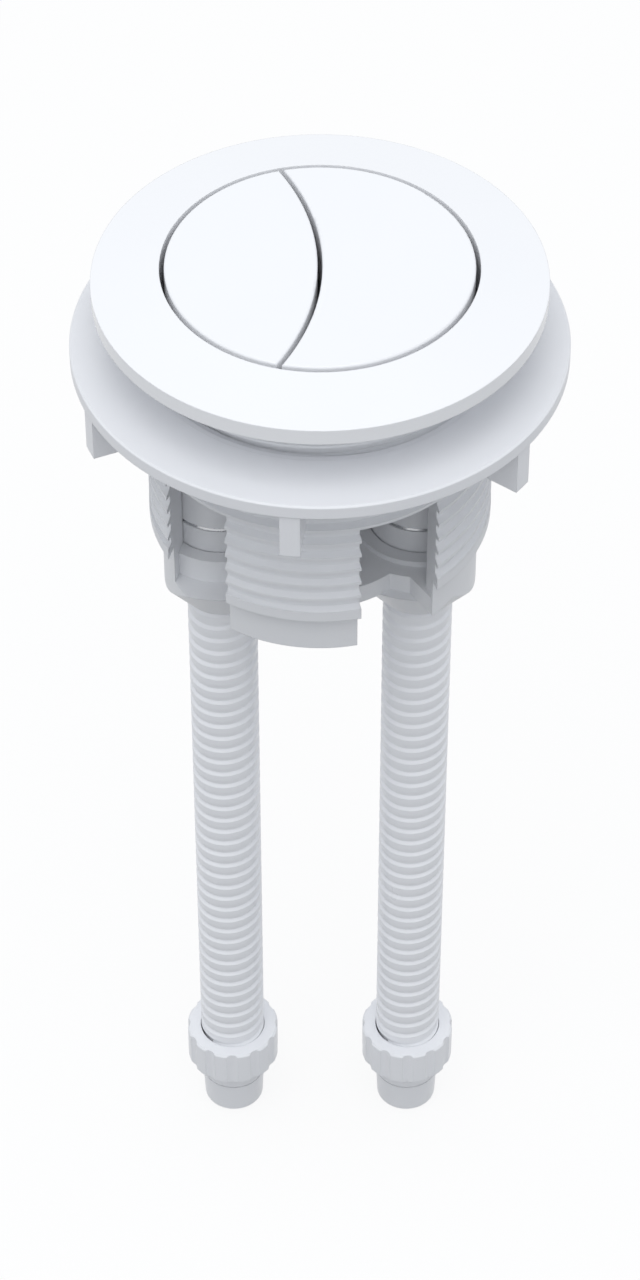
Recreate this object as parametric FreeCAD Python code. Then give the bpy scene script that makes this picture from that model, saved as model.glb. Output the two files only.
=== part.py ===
import FreeCAD, Part
import os
from math import cos, pi, sin

# A dual push button actuator for a cistern lid. All sizes are in millimetres.
# The axis of the threaded housing is the Z axis, and z = 0 is the top of the lid that the bezel stands on.
# The small button and its rod are on the -X side, the large ones on the +X side.

V = FreeCAD.Vector
os.makedirs("parts", exist_ok=True)

# Bezel
BEZEL_RADIUS = 36.0
BEZEL_RIM_HEIGHT = 2.74
BEZEL_CROWN_HEIGHT = 5.0
BEZEL_WALL = 1.8
BEZEL_SKIN = 1.5
APERTURE_RADIUS = 25.15
FLANGE_THICKNESS = 1.2
FLANGE_CLEARANCE = 0.25

# Threaded housing
THREAD_CREST_RADIUS = 28.1
THREAD_ROOT_RADIUS = 26.9
THREAD_PITCH = 3.0
THREAD_CREST_LAND = 0.6
THREAD_FLANK = 0.4
THREAD_FRONT_CREST = -28.73
THREAD_TOP = -2.5
NECK_PROUD = 0.1
NECK_HEIGHT = 1.0
END_RING_TOP = -43.43
END_RING_PROUD = 0.05
SKIRT_TOP = -45.5
SKIRT_RADIUS = 26.1
HOUSING_BOTTOM = -53.5
HOUSING_BORE_RADIUS = 23.3
INSERT_SEAT_HEIGHT = -12.5
FLOOR_TOP = -49.9

# Side windows of the housing, each a parallel slot that runs outwards along its azimuth
WINDOW_TOP = -26.75
LEFT_WINDOW_AZIMUTH = 254.5
LEFT_WINDOW_SIDES = (-20.07, -8.28)
RIGHT_WINDOW_AZIMUTH = 286.8
RIGHT_WINDOW_SIDES = (-1.56, 12.05)
FLOOR_CORE_RADIUS = 16.87
RIGHT_FLOOR_CUT_SIDE_AZIMUTH = 304.4
RIGHT_FLOOR_CUT_SIDE_OFFSET = 4.64
RIGHT_FLOOR_CUT_CLEAR_RADIUS = 13.4

# Rod lines, guide cups and the cones below them
ROD_OFFSET = 16.5
CUP_OUTER_RADIUS = 10.9
CUP_TOP = -48.85
CUP_SEAT_HEIGHT = -60.0
CONE_TOP_RADIUS = 15.2
CONE_TIP_RADIUS = 6.6
CONE_TIP_HEIGHT = -65.2
GUIDE_CLEARANCE = 0.2

# Buttons
BUTTON_GAP = 0.75
BUTTON_PROUD = 0.3
BUTTON_PLATE = 2.0
BUTTON_WALL = 1.5
BUTTON_SKIRT_BOTTOM = -5.0
BUTTON_EDGE = 0.4
SPLIT_RADIUS = 48.0
SPLIT_APEX = 0.0
SOCKET_WALL = 1.2
SOCKET_DEPTH = 5.0

# Plungers, rod collars and clips
SLEEVE_RADIUS = 8.4
SLEEVE_BORE_RADIUS = 7.6
SLEEVE_BOTTOM = -43.7
SLEEVE_ROOF = 2.0
STOP_GAP = 0.3
STEM_RADIUS = 5.8
INSERT_THICKNESS = 2.0
INSERT_RIM_CLEARANCE = 0.15
COLLAR_TOP = -44.4
COLLAR_BOTTOM = -50.5
SPIGOT_CLEARANCE = 0.15
SPIGOT_LENGTH = 5.0
CLIP_THICKNESS = 0.5
CLIP_INSET = 0.1
CLIP_OPENING = 70.0
CLIP_OPENING_AZIMUTH = 90.0

# Return springs
SPRING_WIRE = 0.8
SPRING_WIRE_SIDES = 6
SPRING_MEAN_RADIUS = 7.2
SPRING_TURNS = 4.0
SPRING_END_GAP = 0.1

# Threaded rods
ROD_CREST_RADIUS = 5.9
ROD_ROOT_RADIUS = 5.4
ROD_PITCH = 3.0
ROD_CREST_LAND = 1.4
ROD_FLANK = 0.5
ROD_FRONT_CREST = -67.45
ROD_TOP = -38.0
ROD_BOTTOM = -187.0
ROD_THREAD_TOP = -40.0
ROD_CLEARANCE = 0.15

# Grip nuts and feet
GRIP_RADIUS = 8.5
GRIP_TOP = -180.3
GRIP_BOTTOM = -188.2
GRIP_LOBES = 12
GRIP_NOTCH_DEPTH = 0.45
GRIP_NOTCH_RADIUS = 1.6
GRIP_EDGE = 0.35
GRIP_HOLE_CLEARANCE = 0.1
FOOT_RADIUS = 5.77
FOOT_TIP_RADIUS = 5.5
FOOT_TOP = -192.9
FOOT_BOTTOM = -200.0
FOOT_EDGE = 0.4
SWIVEL_GAP = 0.2
SWIVEL_PIN_RADIUS = 2.5
SWIVEL_PIN_LENGTH = 3.7

# Back nut under the lid
NUT_RADIUS = 39.8
NUT_TOP = -9.45
NUT_DISC_THICKNESS = 2.68
NUT_BORE_CLEARANCE = 0.15
NUT_HUB_WALL = 2.6
NUT_BOTTOM = -20.24
NUT_CHAMFER = 0.8
NUT_EDGE = 0.3
VANE_COUNT = 6
VANE_THICKNESS = 3.25
VANE_RADIUS = 39.5
VANE_AZIMUTH = 263.25

# Sizes that follow from the ones above
BUTTON_RADIUS = APERTURE_RADIUS - BUTTON_GAP
BUTTON_TOP = BEZEL_CROWN_HEIGHT + BUTTON_PROUD
PLATE_UNDERSIDE = BUTTON_TOP - BUTTON_PLATE
GUIDE_RADIUS = SLEEVE_RADIUS + GUIDE_CLEARANCE
ROD_HOLE_RADIUS = ROD_CREST_RADIUS + ROD_CLEARANCE
END_RING_RADIUS = THREAD_CREST_RADIUS + END_RING_PROUD
NECK_RADIUS = THREAD_CREST_RADIUS + NECK_PROUD
INSERT_TOP = INSERT_SEAT_HEIGHT + INSERT_THICKNESS
SHOULDER_HEIGHT = INSERT_SEAT_HEIGHT - STOP_GAP
SPIGOT_RADIUS = SLEEVE_BORE_RADIUS - SPIGOT_CLEARANCE
SMALL_LINE = -ROD_OFFSET
LARGE_LINE = ROD_OFFSET
UP = V(0, 0, 1)


# Shapes that several pieces share
def cylinder(radius, bottom, top, line=0.0):
    """Upright cylinder about the line x = line, y = 0."""
    return Part.makeCylinder(radius, top - bottom, V(line, 0, bottom))


def tube(outer, inner, bottom, top, line=0.0):
    """Upright tube about the line x = line, y = 0."""
    return cylinder(outer, bottom, top, line).cut(cylinder(inner, bottom, top, line))


def turned(outline, line=0.0):
    """Solid of revolution of a closed outline of (radius, height) points."""
    corners = [V(line + radius, 0, height) for radius, height in outline]
    face = Part.Face(Part.makePolygon(corners + corners[:1]))
    return face.revolve(V(line, 0, 0), UP, 360)


def ridge(root, crest, land, flank, pitch, centre, azimuth, top, line=0.0):
    """Right-hand thread ridge that starts at this centre height and azimuth and climbs to top."""
    depth = crest - root
    bite = depth / 2
    reach = land / 2 + flank * (depth + bite) / depth
    section = [(root - bite, -reach), (crest, -land / 2), (crest, land / 2), (root - bite, reach)]
    corners = [V(radius, 0, height) for radius, height in section]
    profile = Part.makePolygon(corners + corners[:1])
    path = Part.Wire(Part.makeHelix(pitch, top - centre, root))
    solid = path.makePipeShell([profile], True, True)
    solid.rotate(V(0, 0, 0), UP, azimuth)
    solid.translate(V(line, 0, centre))
    return solid


def slab(azimuth, sides, bottom, top, start=0.0):
    """Upright slab that runs outwards along an azimuth, between two side offsets."""
    near, far = sides
    length = NUT_RADIUS - start
    block = Part.makeBox(length, far - near, top - bottom, V(start, near, bottom))
    block.rotate(V(0, 0, 0), UP, azimuth)
    return block


def half_turned(shape):
    """Copy of a shape, turned half a turn about the axis."""
    copy = shape.copy()
    copy.rotate(V(0, 0, 0), UP, 180)
    return copy


# Bezel: a ring of C section whose inner wall stands on the housing's flange
def make_bezel():
    slope = (BEZEL_CROWN_HEIGHT - BEZEL_RIM_HEIGHT) / (BEZEL_RADIUS - APERTURE_RADIUS)
    inner_foot = APERTURE_RADIUS + BEZEL_SKIN
    outer_foot = BEZEL_RADIUS - BEZEL_WALL

    def under_skin(radius):
        return BEZEL_RIM_HEIGHT + slope * (BEZEL_RADIUS - radius) - BEZEL_SKIN

    return turned([
        (BEZEL_RADIUS, 0),
        (BEZEL_RADIUS, BEZEL_RIM_HEIGHT),
        (APERTURE_RADIUS, BEZEL_CROWN_HEIGHT),
        (APERTURE_RADIUS, FLANGE_THICKNESS),
        (inner_foot, FLANGE_THICKNESS),
        (inner_foot, under_skin(inner_foot)),
        (outer_foot, under_skin(outer_foot)),
        (outer_foot, 0),
    ])


# Housing: threaded tube with four windows, a floor, two guide cups and their cones
def housing_thread():
    start = (SKIRT_TOP + END_RING_TOP) / 2
    turns = (start - THREAD_FRONT_CREST) / THREAD_PITCH
    azimuth = 270 + 360 * turns
    return ridge(THREAD_ROOT_RADIUS, THREAD_CREST_RADIUS, THREAD_CREST_LAND, THREAD_FLANK,
                 THREAD_PITCH, start, azimuth, THREAD_TOP)


def window_cutters():
    left = slab(LEFT_WINDOW_AZIMUTH, LEFT_WINDOW_SIDES, FLOOR_TOP, WINDOW_TOP)
    right = slab(RIGHT_WINDOW_AZIMUTH, RIGHT_WINDOW_SIDES, FLOOR_TOP, WINDOW_TOP)
    return [left, right, half_turned(left), half_turned(right)]


def floor_cutters():
    below = HOUSING_BOTTOM - 1
    left = slab(LEFT_WINDOW_AZIMUTH, LEFT_WINDOW_SIDES, below, FLOOR_TOP)
    left = left.cut(cylinder(CUP_OUTER_RADIUS, below, FLOOR_TOP, SMALL_LINE))
    right = slab(RIGHT_WINDOW_AZIMUTH, RIGHT_WINDOW_SIDES, below, FLOOR_TOP)
    right = right.cut(cylinder(RIGHT_FLOOR_CUT_CLEAR_RADIUS, below, FLOOR_TOP, LARGE_LINE))
    beyond = (RIGHT_FLOOR_CUT_SIDE_OFFSET, NUT_RADIUS)
    right = right.cut(slab(RIGHT_FLOOR_CUT_SIDE_AZIMUTH, beyond, below, FLOOR_TOP))
    core = cylinder(FLOOR_CORE_RADIUS, below, FLOOR_TOP)
    left = left.cut(core)
    right = right.cut(core)
    return [left, right, half_turned(left), half_turned(right)]


def make_housing():
    flange_radius = BEZEL_RADIUS - BEZEL_WALL - FLANGE_CLEARANCE
    body = turned([
        (0, HOUSING_BOTTOM),
        (SKIRT_RADIUS, HOUSING_BOTTOM),
        (SKIRT_RADIUS, SKIRT_TOP),
        (END_RING_RADIUS, SKIRT_TOP),
        (END_RING_RADIUS, END_RING_TOP),
        (THREAD_ROOT_RADIUS, END_RING_TOP),
        (THREAD_ROOT_RADIUS, -NECK_HEIGHT),
        (NECK_RADIUS, -NECK_HEIGHT),
        (NECK_RADIUS, 0),
        (flange_radius, 0),
        (flange_radius, FLANGE_THICKNESS),
        (0, FLANGE_THICKNESS),
    ])
    hollow = cylinder(HOUSING_BORE_RADIUS, FLOOR_TOP, INSERT_SEAT_HEIGHT)
    hollow = hollow.fuse(cylinder(APERTURE_RADIUS, INSERT_SEAT_HEIGHT, FLANGE_THICKNESS))
    for line in (SMALL_LINE, LARGE_LINE):
        hollow = hollow.fuse(cylinder(GUIDE_RADIUS, FLOOR_TOP, INSERT_SEAT_HEIGHT, line))
    body = body.cut(hollow)

    thread = housing_thread()
    for cutter in window_cutters():
        body = body.cut(cutter)
        thread = thread.cut(cutter)
    for cutter in floor_cutters():
        body = body.cut(cutter)

    limit = cylinder(SKIRT_RADIUS, CONE_TIP_HEIGHT, CUP_TOP)
    for line in (SMALL_LINE, LARGE_LINE):
        cup = turned([
            (0, CONE_TIP_HEIGHT),
            (CONE_TIP_RADIUS, CONE_TIP_HEIGHT),
            (CONE_TOP_RADIUS, HOUSING_BOTTOM),
            (CUP_OUTER_RADIUS, HOUSING_BOTTOM),
            (CUP_OUTER_RADIUS, CUP_TOP),
            (0, CUP_TOP),
        ], line)
        body = body.fuse(cup.common(limit))
    for line in (SMALL_LINE, LARGE_LINE):
        body = body.cut(cylinder(GUIDE_RADIUS, CUP_SEAT_HEIGHT, CUP_TOP, line))
        body = body.cut(cylinder(ROD_HOLE_RADIUS, CONE_TIP_HEIGHT, CUP_TOP, line))
    body = body.removeSplitter()
    for run in thread.Solids:
        body = body.fuse(run)
    return body


# Insert: a disc on the ledge in the housing that guides both stems and stops both sleeves
def make_guide_insert():
    disc = cylinder(APERTURE_RADIUS - INSERT_RIM_CLEARANCE, INSERT_SEAT_HEIGHT, INSERT_TOP)
    for line in (SMALL_LINE, LARGE_LINE):
        disc = disc.cut(cylinder(STEM_RADIUS + GUIDE_CLEARANCE, INSERT_SEAT_HEIGHT, INSERT_TOP, line))
    return disc


# Back nut: a flanged ring with vanes under its flange
def make_back_nut():
    bore = NECK_RADIUS + NUT_BORE_CLEARANCE
    hub = bore + NUT_HUB_WALL
    underside = NUT_TOP - NUT_DISC_THICKNESS
    nut = turned([
        (bore, NUT_BOTTOM),
        (hub, NUT_BOTTOM),
        (hub, underside),
        (NUT_RADIUS - NUT_EDGE, underside),
        (NUT_RADIUS, underside + NUT_EDGE),
        (NUT_RADIUS, NUT_TOP - NUT_EDGE),
        (NUT_RADIUS - NUT_EDGE, NUT_TOP),
        (bore + NUT_CHAMFER, NUT_TOP),
        (bore, NUT_TOP - NUT_CHAMFER),
    ])
    limit = cylinder(VANE_RADIUS, NUT_BOTTOM, underside)
    middle = (bore + hub) / 2
    sides = (-VANE_THICKNESS / 2, VANE_THICKNESS / 2)
    for number in range(VANE_COUNT):
        azimuth = VANE_AZIMUTH + number * 360 / VANE_COUNT
        vane = slab(azimuth, sides, NUT_BOTTOM, underside, middle)
        nut = nut.fuse(vane.common(limit))
    return nut.removeSplitter()


# Buttons: two hollow caps that share the round aperture along a curved split
def button_outline(inset, bottom, top, is_small):
    """Plan of one button, drawn in by inset, as a solid between two heights."""
    disc = cylinder(BUTTON_RADIUS - inset, bottom, top)
    centre = SPLIT_APEX - SPLIT_RADIUS
    if is_small:
        return disc.common(cylinder(SPLIT_RADIUS - BUTTON_GAP / 2 - inset, bottom, top, centre))
    return disc.cut(cylinder(SPLIT_RADIUS + BUTTON_GAP / 2 + inset, bottom, top, centre))


def make_button(is_small):
    line = SMALL_LINE if is_small else LARGE_LINE
    block = button_outline(0, BUTTON_SKIRT_BOTTOM, BUTTON_TOP, is_small)
    rim = [edge for edge in block.Edges if edge.BoundBox.ZMin > BUTTON_TOP - BUTTON_EDGE]
    block = block.makeFillet(BUTTON_EDGE, rim)
    block = block.cut(button_outline(BUTTON_WALL, BUTTON_SKIRT_BOTTOM, PLATE_UNDERSIDE, is_small))
    socket_bottom = PLATE_UNDERSIDE - SOCKET_DEPTH
    socket_bore = STEM_RADIUS + GUIDE_CLEARANCE
    socket = tube(socket_bore + SOCKET_WALL, socket_bore, socket_bottom, PLATE_UNDERSIDE, line)
    inside = button_outline(BUTTON_WALL / 2, BUTTON_SKIRT_BOTTOM, BUTTON_TOP, is_small)
    return block.fuse(socket.common(inside)).removeSplitter()


# Plunger: a sleeve over the rod, with the stem that carries the button
def make_plunger(line):
    sleeve = cylinder(SLEEVE_RADIUS, SLEEVE_BOTTOM, SHOULDER_HEIGHT, line)
    roof = SHOULDER_HEIGHT - SLEEVE_ROOF
    sleeve = sleeve.cut(cylinder(SLEEVE_BORE_RADIUS, SLEEVE_BOTTOM, roof, line))
    return sleeve.fuse(cylinder(STEM_RADIUS, SHOULDER_HEIGHT, PLATE_UNDERSIDE, line))


# Rod collar: the socket that the rod screws into, with a spigot up into the sleeve
def make_rod_collar(line):
    collar = cylinder(SLEEVE_RADIUS, COLLAR_BOTTOM, COLLAR_TOP, line)
    spigot_top = COLLAR_TOP + SPIGOT_LENGTH
    collar = collar.fuse(cylinder(SPIGOT_RADIUS, COLLAR_TOP, spigot_top, line))
    return collar.cut(cylinder(ROD_HOLE_RADIUS, COLLAR_BOTTOM, spigot_top, line))


# Clip: an open steel ring in the groove between sleeve and collar
def make_clip(line):
    middle = (SLEEVE_BOTTOM + COLLAR_TOP) / 2
    bottom = middle - CLIP_THICKNESS / 2
    top = middle + CLIP_THICKNESS / 2
    ring = tube(SLEEVE_RADIUS - CLIP_INSET, SPIGOT_RADIUS + CLIP_INSET, bottom, top, line)
    start = V(line, 0, bottom)
    opening = Part.makeCylinder(SLEEVE_RADIUS * 2, CLIP_THICKNESS, start, UP, CLIP_OPENING)
    opening.rotate(start, UP, CLIP_OPENING_AZIMUTH - CLIP_OPENING / 2)
    return ring.cut(opening)


# Spring: a steel coil round the rod, between the cup's seat and the collar
def make_spring(line):
    bottom = CUP_SEAT_HEIGHT + SPRING_END_GAP + SPRING_WIRE / 2
    top = COLLAR_BOTTOM - SPRING_END_GAP - SPRING_WIRE / 2
    height = top - bottom
    path = Part.Wire(Part.makeHelix(height / SPRING_TURNS, height, SPRING_MEAN_RADIUS))
    corners = []
    for number in range(SPRING_WIRE_SIDES):
        angle = 2 * pi * number / SPRING_WIRE_SIDES
        across = SPRING_WIRE / 2 * cos(angle)
        corners.append(V(SPRING_MEAN_RADIUS + across, 0, SPRING_WIRE / 2 * sin(angle)))
    section = Part.makePolygon(corners + corners[:1])
    coil = path.makePipeShell([section], True, True)
    coil.translate(V(line, 0, bottom))
    return coil


# Rod: a long screw with a low ridge, free to pass the cone and the sleeve
def make_rod(line):
    core = cylinder(ROD_ROOT_RADIUS, ROD_BOTTOM, ROD_TOP, line)
    start = GRIP_TOP - ROD_PITCH / 2
    turns = (start - ROD_FRONT_CREST) / ROD_PITCH
    azimuth = 270 + 360 * turns
    thread = ridge(ROD_ROOT_RADIUS, ROD_CREST_RADIUS, ROD_CREST_LAND, ROD_FLANK,
                   ROD_PITCH, start, azimuth, ROD_THREAD_TOP, line)
    return core.fuse(thread)


# Grip nut: a scalloped wheel on the rod's end, with the swivel pin for the foot
def make_grip_nut(line):
    wheel = turned([
        (0, GRIP_BOTTOM),
        (GRIP_RADIUS - GRIP_EDGE, GRIP_BOTTOM),
        (GRIP_RADIUS, GRIP_BOTTOM + GRIP_EDGE),
        (GRIP_RADIUS, GRIP_TOP - GRIP_EDGE),
        (GRIP_RADIUS - GRIP_EDGE, GRIP_TOP),
        (0, GRIP_TOP),
    ], line)
    reach = GRIP_RADIUS - GRIP_NOTCH_DEPTH + GRIP_NOTCH_RADIUS
    for number in range(GRIP_LOBES):
        angle = 2 * pi * number / GRIP_LOBES
        place = V(line + reach * cos(angle), reach * sin(angle), GRIP_BOTTOM)
        wheel = wheel.cut(Part.makeCylinder(GRIP_NOTCH_RADIUS, GRIP_TOP - GRIP_BOTTOM, place))
    wheel = wheel.cut(cylinder(ROD_CREST_RADIUS + GRIP_HOLE_CLEARANCE, ROD_BOTTOM, GRIP_TOP, line))
    boss_bottom = FOOT_TOP + SWIVEL_GAP
    pin_bottom = boss_bottom - SWIVEL_PIN_LENGTH
    wheel = wheel.fuse(cylinder(FOOT_RADIUS, boss_bottom, GRIP_BOTTOM, line))
    return wheel.fuse(cylinder(SWIVEL_PIN_RADIUS, pin_bottom, boss_bottom, line))


# Foot: the tip that pushes the flush valve and does not turn with the rod
def make_foot(line):
    socket_bottom = FOOT_TOP - SWIVEL_PIN_LENGTH
    foot = turned([
        (0, FOOT_BOTTOM),
        (FOOT_TIP_RADIUS - FOOT_EDGE, FOOT_BOTTOM),
        (FOOT_TIP_RADIUS, FOOT_BOTTOM + FOOT_EDGE),
        (FOOT_RADIUS, FOOT_TOP),
        (0, FOOT_TOP),
    ], line)
    return foot.cut(cylinder(SWIVEL_PIN_RADIUS + SWIVEL_GAP, socket_bottom, FOOT_TOP, line))


def save(name, shape):
    shape.exportStep("parts/" + name + ".step")
    print(name, "solids", len(shape.Solids), "valid", shape.isValid(), "volume", round(shape.Volume, 1))


save("bezel", make_bezel())
save("housing", make_housing())
save("guide_insert", make_guide_insert())
save("back_nut", make_back_nut())
for side, side_line in (("small", SMALL_LINE), ("large", LARGE_LINE)):
    save(side + "_button", make_button(side == "small"))
    save(side + "_plunger", make_plunger(side_line))
    save(side + "_rod_collar", make_rod_collar(side_line))
    save(side + "_clip", make_clip(side_line))
    save(side + "_spring", make_spring(side_line))
    save(side + "_rod", make_rod(side_line))
    save(side + "_grip_nut", make_grip_nut(side_line))
    save(side + "_foot", make_foot(side_line))
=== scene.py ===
# %% [markdown]
# # A dual push button for a cistern lid
# The real object is moulded in white plastic: a domed bezel with two buttons stands on the lid, a
# threaded housing hangs below it, a back nut clamps the lid, and two long screws reach down to the
# flush valve. The solids come in as a fixed frame, in metres, so each new piece goes where the
# frame says.

# %% Load the frame
from math import cos, pi, radians, sin

import bpy
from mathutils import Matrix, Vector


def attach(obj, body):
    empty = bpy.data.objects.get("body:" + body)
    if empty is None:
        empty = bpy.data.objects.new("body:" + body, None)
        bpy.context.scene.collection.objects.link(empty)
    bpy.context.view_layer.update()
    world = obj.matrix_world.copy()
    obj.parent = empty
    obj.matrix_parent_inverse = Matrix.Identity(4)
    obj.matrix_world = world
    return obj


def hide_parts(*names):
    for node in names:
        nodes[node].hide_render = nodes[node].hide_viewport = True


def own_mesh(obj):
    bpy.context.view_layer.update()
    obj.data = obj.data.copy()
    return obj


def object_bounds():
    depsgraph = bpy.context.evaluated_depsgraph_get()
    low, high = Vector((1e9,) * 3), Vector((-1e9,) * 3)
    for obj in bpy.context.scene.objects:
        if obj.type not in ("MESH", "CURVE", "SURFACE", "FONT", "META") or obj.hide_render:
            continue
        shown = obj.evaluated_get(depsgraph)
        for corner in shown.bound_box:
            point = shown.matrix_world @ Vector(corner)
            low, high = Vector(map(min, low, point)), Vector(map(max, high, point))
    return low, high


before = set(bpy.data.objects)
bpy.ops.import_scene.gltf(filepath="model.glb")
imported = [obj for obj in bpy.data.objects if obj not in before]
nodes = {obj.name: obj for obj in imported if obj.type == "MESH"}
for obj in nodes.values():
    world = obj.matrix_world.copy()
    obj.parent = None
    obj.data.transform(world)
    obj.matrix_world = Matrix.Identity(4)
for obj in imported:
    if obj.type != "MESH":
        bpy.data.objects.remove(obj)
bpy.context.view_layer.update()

MM = 0.001
scene = bpy.context.scene

# %% [markdown]
# ## Camera
# A product shot like this is taken from a fixed stand. The stand looks down at about 45 degrees, so
# that the buttons show from above and the screws run away from the lens. A long lens keeps the
# circles true. The numbers were solved from the circles of the bezel, the nut and the threads.

# %% Place the camera
CAMERA_PLACE = (0.0, -0.4799, 0.4044)
CAMERA_TILT = 44.86
CAMERA_LENS = 112.0
CAMERA_SENSOR = 36.0
CAMERA_NEAR = 0.01
CAMERA_FAR = 20

camera = bpy.data.objects.new("camera", bpy.data.cameras.new("camera"))
scene.collection.objects.link(camera)
camera.location = CAMERA_PLACE
camera.rotation_euler = (radians(CAMERA_TILT), 0, 0)
camera.data.lens = CAMERA_LENS
camera.data.sensor_width = CAMERA_SENSOR
camera.data.clip_start = CAMERA_NEAR
camera.data.clip_end = CAMERA_FAR
scene.camera = camera

scene.view_settings.view_transform = "Standard"

# %% [markdown]
# ## Studio
# White plastic on white paper needs little: a pale world lights all sides, and one wide soft lamp
# overhead makes the tops brighter than the walls. White paper would throw too much light back under
# the flanges, so for the light that bounces the paper is grey, as when a stand keeps the object
# clear of it. The rays that the lens sees meet white paper instead: mostly even white, with a
# diffuse share that keeps the object's soft shadow.

# %% Mesh helpers
def mesh_piece(name, points, faces):
    """New object in the scene with a mesh of these points and faces."""
    mesh = bpy.data.meshes.new(name)
    mesh.from_pydata(points, [], faces)
    mesh.validate()
    piece = bpy.data.objects.new(name, mesh)
    scene.collection.objects.link(piece)
    return piece


def dress(piece, material):
    """Give the piece this one material."""
    piece.data.materials.clear()
    piece.data.materials.append(material)


# %% Node helpers
def add_node(tree, kind, **inputs):
    """New node of a kind, with these input values; an underscore in a name stands for a space."""
    node = tree.nodes.new(kind)
    for name, value in inputs.items():
        node.inputs[name.replace("_", " ")].default_value = value
    return node


def link(tree, source, output, target, socket):
    """Join one output of a node to one input of another."""
    tree.links.new(source.outputs[output], target.inputs[socket])


def seen_rays(tree):
    """A value that is 1 for rays from the lens, a mirror or glass, and 0 for other rays."""
    path = tree.nodes.new("ShaderNodeLightPath")
    source, output = path, "Is Camera Ray"
    for kind in ("Is Glossy Ray", "Is Transmission Ray"):
        either = tree.nodes.new("ShaderNodeMath")
        either.operation = "MAXIMUM"
        link(tree, source, output, either, 0)
        link(tree, path, kind, either, 1)
        source, output = either, 0
    return source


def by_sight(tree, unseen, seen):
    """Mix of two shaders: the second for the seen rays, the first for all others."""
    choice = tree.nodes.new("ShaderNodeMixShader")
    link(tree, seen_rays(tree), 0, choice, 0)
    link(tree, unseen, 0, choice, 1)
    link(tree, seen, 0, choice, 2)
    return choice


# %% World light
FILL_COLOUR = (0.93, 0.96, 1.0, 1)
FILL_STRENGTH = 0.8
WHITE = (1, 1, 1, 1)

world = bpy.data.worlds.new("studio")
scene.world = world
world.use_nodes = True
tree = world.node_tree
tree.nodes.clear()
fill = add_node(tree, "ShaderNodeBackground", Color=FILL_COLOUR, Strength=FILL_STRENGTH)
seen = add_node(tree, "ShaderNodeBackground", Color=WHITE, Strength=1)
output = tree.nodes.new("ShaderNodeOutputWorld")
link(tree, by_sight(tree, fill, seen), 0, output, "Surface")

# %% Lamp overhead
LAMP_PLACE = (-0.1, -0.4, 1.04)
LAMP_AIM = (0, 0, -0.06)
LAMP_SIZE = 0.9
LAMP_WATTS = 4.1

lamp = bpy.data.objects.new("overhead", bpy.data.lights.new("overhead", "AREA"))
lamp.data.size = LAMP_SIZE
lamp.data.energy = LAMP_WATTS
lamp.location = LAMP_PLACE
direction = lamp.location.copy()
for axis in range(3):
    direction[axis] -= LAMP_AIM[axis]
lamp.rotation_mode = "QUATERNION"
lamp.rotation_quaternion = direction.to_track_quat("Z", "Y")
scene.collection.objects.link(lamp)

# %% Paper floor
FLOOR_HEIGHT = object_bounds()[0].z
FLOOR_HALF = 4.0
EVEN_WHITE_SHARE = 0.85
BOUNCE_GREY = (0.3, 0.3, 0.3, 1)

corners = [(x * FLOOR_HALF, y * FLOOR_HALF, FLOOR_HEIGHT)
           for x, y in ((-1, -1), (1, -1), (1, 1), (-1, 1))]
floor = mesh_piece("floor", corners, [(0, 1, 2, 3)])

paper = bpy.data.materials.new("white paper")
paper.use_nodes = True
tree = paper.node_tree
tree.nodes.clear()
bounce = add_node(tree, "ShaderNodeBsdfDiffuse", Color=BOUNCE_GREY)
matte = add_node(tree, "ShaderNodeBsdfDiffuse", Color=WHITE)
glow = add_node(tree, "ShaderNodeEmission", Color=WHITE, Strength=1)
seen = tree.nodes.new("ShaderNodeMixShader")
seen.inputs[0].default_value = EVEN_WHITE_SHARE
link(tree, matte, 0, seen, 1)
link(tree, glow, 0, seen, 2)
output = tree.nodes.new("ShaderNodeOutputMaterial")
link(tree, by_sight(tree, bounce, seen), 0, output, "Surface")
dress(floor, paper)

# %% [markdown]
# ## Plastics and steel
# Moulded plastic is never one flat colour. The tool leaves a faint grain, the gloss changes a little
# from place to place, and every edge is slightly round and catches light. Each plastic here is one
# Principled shader with a slow noise in the colour and the gloss, a fine noise for the grain, and
# rounded edge normals. The steel has one noise that runs its colour and gloss together.

# %% Shared by plastics and steel
def noise(tree, scale, detail, roughness):
    """Noise that stays with the piece, because it is laid in the piece's own space."""
    place = tree.nodes.new("ShaderNodeTexCoord")
    pattern = add_node(tree, "ShaderNodeTexNoise", Scale=scale, Detail=detail, Roughness=roughness)
    link(tree, place, "Object", pattern, "Vector")
    return pattern


def vary(tree, pattern, colour, shade, gloss):
    """Let a noise run the shader's colour and roughness between two values each."""
    shader = tree.nodes["Principled BSDF"]
    tint = tree.nodes.new("ShaderNodeMix")
    tint.data_type = "RGBA"
    tint.inputs["A"].default_value = colour
    tint.inputs["B"].default_value = shade
    link(tree, pattern, "Fac", tint, "Factor")
    link(tree, tint, "Result", shader, "Base Color")
    spread = add_node(tree, "ShaderNodeMapRange", To_Min=gloss[0], To_Max=gloss[1])
    link(tree, pattern, "Fac", spread, "Value")
    link(tree, spread, "Result", shader, "Roughness")
    return shader


# %% Moulded plastic
EDGE_ROUNDING = 0.22 * MM
EDGE_SAMPLES = 4
CLOUD_SCALE = 60
PLASTIC_IOR = 1.49


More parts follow.
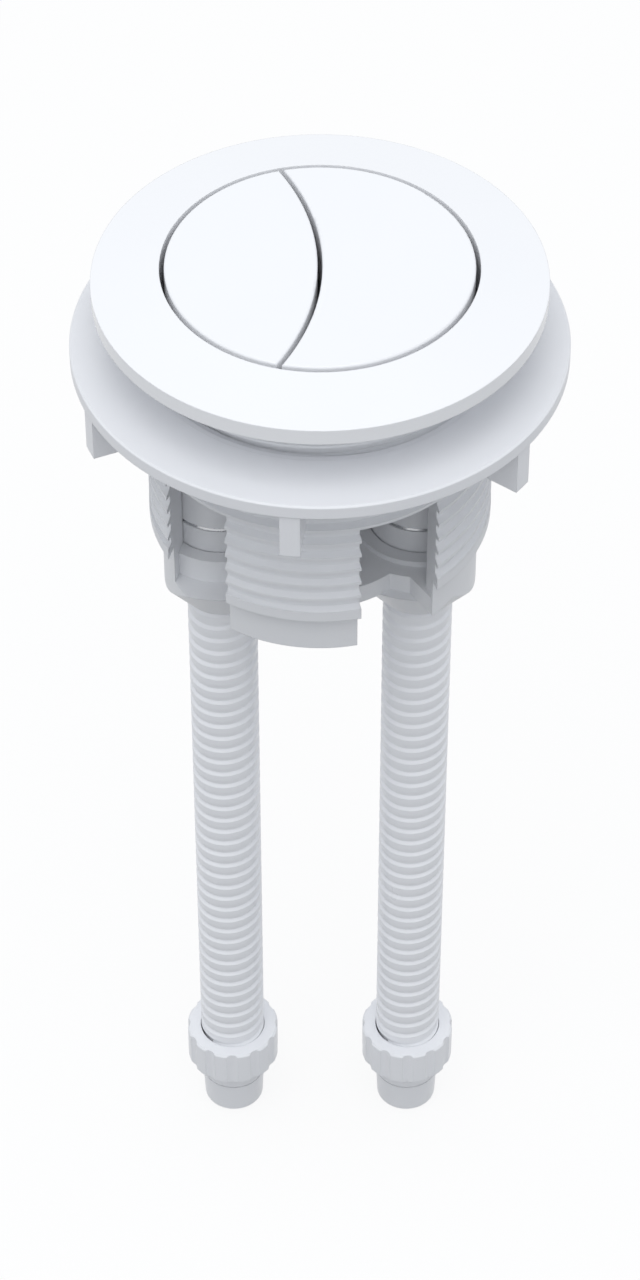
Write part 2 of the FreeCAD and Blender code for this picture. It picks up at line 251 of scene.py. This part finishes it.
def plastic(name, colour, shade, gloss, grain_size, grain_height):
    """White plastic between two close colours and two roughness values, with a fine grain."""
    material = bpy.data.materials.new(name)
    material.use_nodes = True
    tree = material.node_tree
    clouds = noise(tree, CLOUD_SCALE, detail=3, roughness=0.5)
    shader = vary(tree, clouds, colour, shade, gloss)
    shader.inputs["IOR"].default_value = PLASTIC_IOR

    grain = noise(tree, 1 / grain_size, detail=2, roughness=0.6)
    rounded = add_node(tree, "ShaderNodeBevel", Radius=EDGE_ROUNDING)
    rounded.samples = EDGE_SAMPLES
    relief = add_node(tree, "ShaderNodeBump", Strength=1, Distance=grain_height)
    link(tree, grain, "Fac", relief, "Height")
    link(tree, rounded, "Normal", relief, "Normal")
    link(tree, relief, "Normal", shader, "Normal")
    return material


polished = plastic("polished white plastic",
                   colour=(0.94, 0.945, 0.96, 1), shade=(0.925, 0.93, 0.95, 1),
                   gloss=(0.14, 0.2), grain_size=0.9 * MM, grain_height=0.002 * MM)
satin = plastic("satin white plastic",
                colour=(0.9, 0.905, 0.93, 1), shade=(0.87, 0.88, 0.905, 1),
                gloss=(0.28, 0.4), grain_size=0.5 * MM, grain_height=0.006 * MM)
# The matt plastic is rougher than the satin, and its colour is darker: that darker colour is painted
# shade, which dims the housing's windows and the parts seen inside them.
matt_painted_shade = plastic("matt white plastic",
               colour=(0.86, 0.865, 0.885, 1), shade=(0.82, 0.83, 0.85, 1),
               gloss=(0.36, 0.48), grain_size=0.5 * MM, grain_height=0.006 * MM)
pale = plastic("rod white plastic",
               colour=(0.94, 0.945, 0.97, 1), shade=(0.91, 0.92, 0.945, 1),
               gloss=(0.24, 0.36), grain_size=0.6 * MM, grain_height=0.004 * MM)

# %% Spring steel
STEEL_SCALE = 900

steel = bpy.data.materials.new("drawn spring steel")
steel.use_nodes = True
lines = noise(steel.node_tree, STEEL_SCALE, detail=2, roughness=0.6)
shader = vary(steel.node_tree, lines, colour=(0.62, 0.63, 0.65, 1), shade=(0.5, 0.51, 0.53, 1),
              gloss=(0.18, 0.34))
shader.inputs["Metallic"].default_value = 1

# %% Give each piece its finish
FINISHES = {
    polished: ("bezel", "small_button", "large_button"),
    satin: ("back_nut",),
    # The housing and the parts inside it get the darker matt colour, which is painted shade for the
    # windows.
    matt_painted_shade: ("housing", "guide_insert", "small_plunger", "large_plunger",
           "small_rod_collar", "large_rod_collar"),
    pale: ("small_rod", "large_rod", "small_grip_nut", "large_grip_nut",
           "small_foot", "large_foot"),
    steel: ("small_clip", "large_clip", "small_spring", "large_spring"),
}

for material, names in FINISHES.items():
    for name in names:
        dress(nodes[name], material)
        print(name, "gets", material.name)

# %% [markdown]
# ## The nut's own thread
# The solid of the back nut has a plain bore, so that it can slide. The real nut has a thread that
# sits between the ridges of the housing, and its upper turn hugs the housing just inside the nut's
# mouth. A section swept along a helix is the direct way to make it: the section walks round the bore
# and climbs by one pitch a turn. Only that upper turn is made. Its top is cut flat a little below
# the mouth, so that it clears the housing's neck with the nut right up, and it ends above the
# housing's end ring with the nut right down. Where the cut would leave the ridge thinner than a
# leaf, its tip draws back. A ring fills the bevel of the mouth, so that the nut meets the housing in
# a thin dark line.

# %% Swept shapes
def turned(section, angle, line=0):
    """Points of a section of radii and heights, at this angle about the line x = line, y = 0."""
    return [(line + radius * cos(angle), radius * sin(angle), height) for radius, height in section]


def swept_piece(name, rings, closed=False):
    """Skin over rings of points; a closed one joins its last ring to the first, others get caps."""
    count = len(rings)
    corners = len(rings[0])
    points = [point for ring in rings for point in ring]
    faces = []
    for step in range(count if closed else count - 1):
        near = step * corners
        far = (step + 1) % count * corners
        for corner in range(corners):
            beside = (corner + 1) % corners
            faces.append((far + corner, far + beside, near + beside, near + corner))
    if not closed:
        faces.append(tuple(range(corners)))
        faces.append(tuple(reversed(range(len(points) - corners, len(points)))))
    return mesh_piece(name, points, faces)


# %% Thread ridge in the nut
THREAD_PITCH = 3.0 * MM
NUT_BORE = 28.35 * MM
NUT_THREAD_TIP = 27.2 * MM
NUT_THREAD_SINK = 0.3 * MM
NUT_THREAD_HALF_LAND = 0.6 * MM
NUT_THREAD_HALF_BASE = 1.0 * MM
NUT_THREAD_UNDER = 0.78 * MM
NUT_THREAD_SLOPE = 0.378
NUT_THREAD_LEAF = 0.04 * MM
NUT_THREAD_BOTTOM = -12.25 * MM
NUT_THREAD_TOP = -8.92 * MM
NUT_THREAD_FACE = -10.02 * MM
GROOVE_AT_FRONT = -9.23 * MM
FRONT_AZIMUTH = 1.5 * pi
STEPS_PER_TURN = 120


def ridge_section(middle):
    """Radii and heights of the ridge where its middle is at this height, cut off at the face."""
    outer = NUT_BORE + NUT_THREAD_SINK
    under = middle - NUT_THREAD_UNDER
    short = max(0, under - NUT_THREAD_FACE + NUT_THREAD_LEAF)
    tip = NUT_THREAD_TIP + short / NUT_THREAD_SLOPE
    return [
        (outer, min(middle + NUT_THREAD_HALF_BASE, NUT_THREAD_FACE)),
        (tip, min(middle + NUT_THREAD_HALF_LAND, NUT_THREAD_FACE)),
        (tip, under - NUT_THREAD_SLOPE * (tip - NUT_THREAD_TIP)),
        (outer, under - NUT_THREAD_SLOPE * (outer - NUT_THREAD_TIP)),
    ]


def nut_ridge():
    """Closed right-hand ridge on the wall of the nut's bore."""
    turns = (NUT_THREAD_TOP - NUT_THREAD_BOTTOM) / THREAD_PITCH
    steps = int(turns * STEPS_PER_TURN)
    start = FRONT_AZIMUTH + 2 * pi * (NUT_THREAD_BOTTOM - GROOVE_AT_FRONT) / THREAD_PITCH
    rings = []
    for step in range(steps + 1):
        turn = turns * step / steps
        section = ridge_section(NUT_THREAD_BOTTOM + THREAD_PITCH * turn)
        rings.append(turned(section, start + 2 * pi * turn))
    return swept_piece("nut_thread", rings)


# %% Mouth of the nut
MOUTH_SECTION = [
    (28.25 * MM, -10.35 * MM),
    (28.45 * MM, -10.35 * MM),
    (29.25 * MM, -9.5 * MM),
    (28.25 * MM, -9.5 * MM),
]
MOUTH_STEPS = 180


def nut_mouth():
    """Ring that closes the nut's bevel down to the wall of its bore."""
    rings = [turned(MOUTH_SECTION, 2 * pi * step / MOUTH_STEPS) for step in range(MOUTH_STEPS)]
    return swept_piece("nut_mouth", rings, closed=True)


for piece in (nut_ridge(), nut_mouth()):
    dress(piece, satin)
    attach(piece, "nut_body")
    print(piece.name, "faces:", len(piece.data.polygons))

# %% [markdown]
# ## Return springs
# Each cup holds a coil of drawn round wire that brings its button back. The solid has a plain
# six-sided wire, so a rounder coil takes its place here: a ring of points walks up a helix, with
# close turns at both ends where a real spring is ground to sit flat.

# %% Coils of round wire
ROD_OFFSET = 16.5 * MM
SPRING_LOW = -59.5 * MM
SPRING_HIGH = -51.0 * MM
SPRING_RADIUS = 7.2 * MM
SPRING_TURNS = 5.0
SPRING_END_TURNS = 0.8
SPRING_END_RISE = 0.7 * MM
WIRE_RADIUS = 0.4 * MM
WIRE_SIDES = 12
SPRING_STEPS = 300


def coil_height(turn):
    """Height of the wire's middle after a number of turns, close at both ends."""
    low = SPRING_LOW + SPRING_END_RISE
    high = SPRING_HIGH - SPRING_END_RISE
    if turn < SPRING_END_TURNS:
        return SPRING_LOW + SPRING_END_RISE * turn / SPRING_END_TURNS
    if turn > SPRING_TURNS - SPRING_END_TURNS:
        return SPRING_HIGH - SPRING_END_RISE * (SPRING_TURNS - turn) / SPRING_END_TURNS
    share = (turn - SPRING_END_TURNS) / (SPRING_TURNS - 2 * SPRING_END_TURNS)
    return low + (high - low) * share


def coil(name, line):
    """Coil of round wire about the line x = line, y = 0, smooth but for its two ends."""
    rings = []
    for step in range(SPRING_STEPS + 1):
        turn = SPRING_TURNS * step / SPRING_STEPS
        section = []
        for side in range(WIRE_SIDES):
            around = 2 * pi * side / WIRE_SIDES
            section.append((SPRING_RADIUS + WIRE_RADIUS * cos(around),
                            coil_height(turn) + WIRE_RADIUS * sin(around)))
        rings.append(turned(section, 2 * pi * turn, line))
    piece = swept_piece(name, rings)
    for face in piece.data.polygons:
        face.use_smooth = len(face.vertices) == 4
    return piece


for side, line in (("small", -ROD_OFFSET), ("large", ROD_OFFSET)):
    spring = coil(side + "_return_coil", line)
    dress(spring, steel)
    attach(spring, "housing_body")
    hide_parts(side + "_spring")
    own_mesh(spring)
    print(spring.name, "faces:", len(spring.data.polygons))

# %% End
print("scene built")
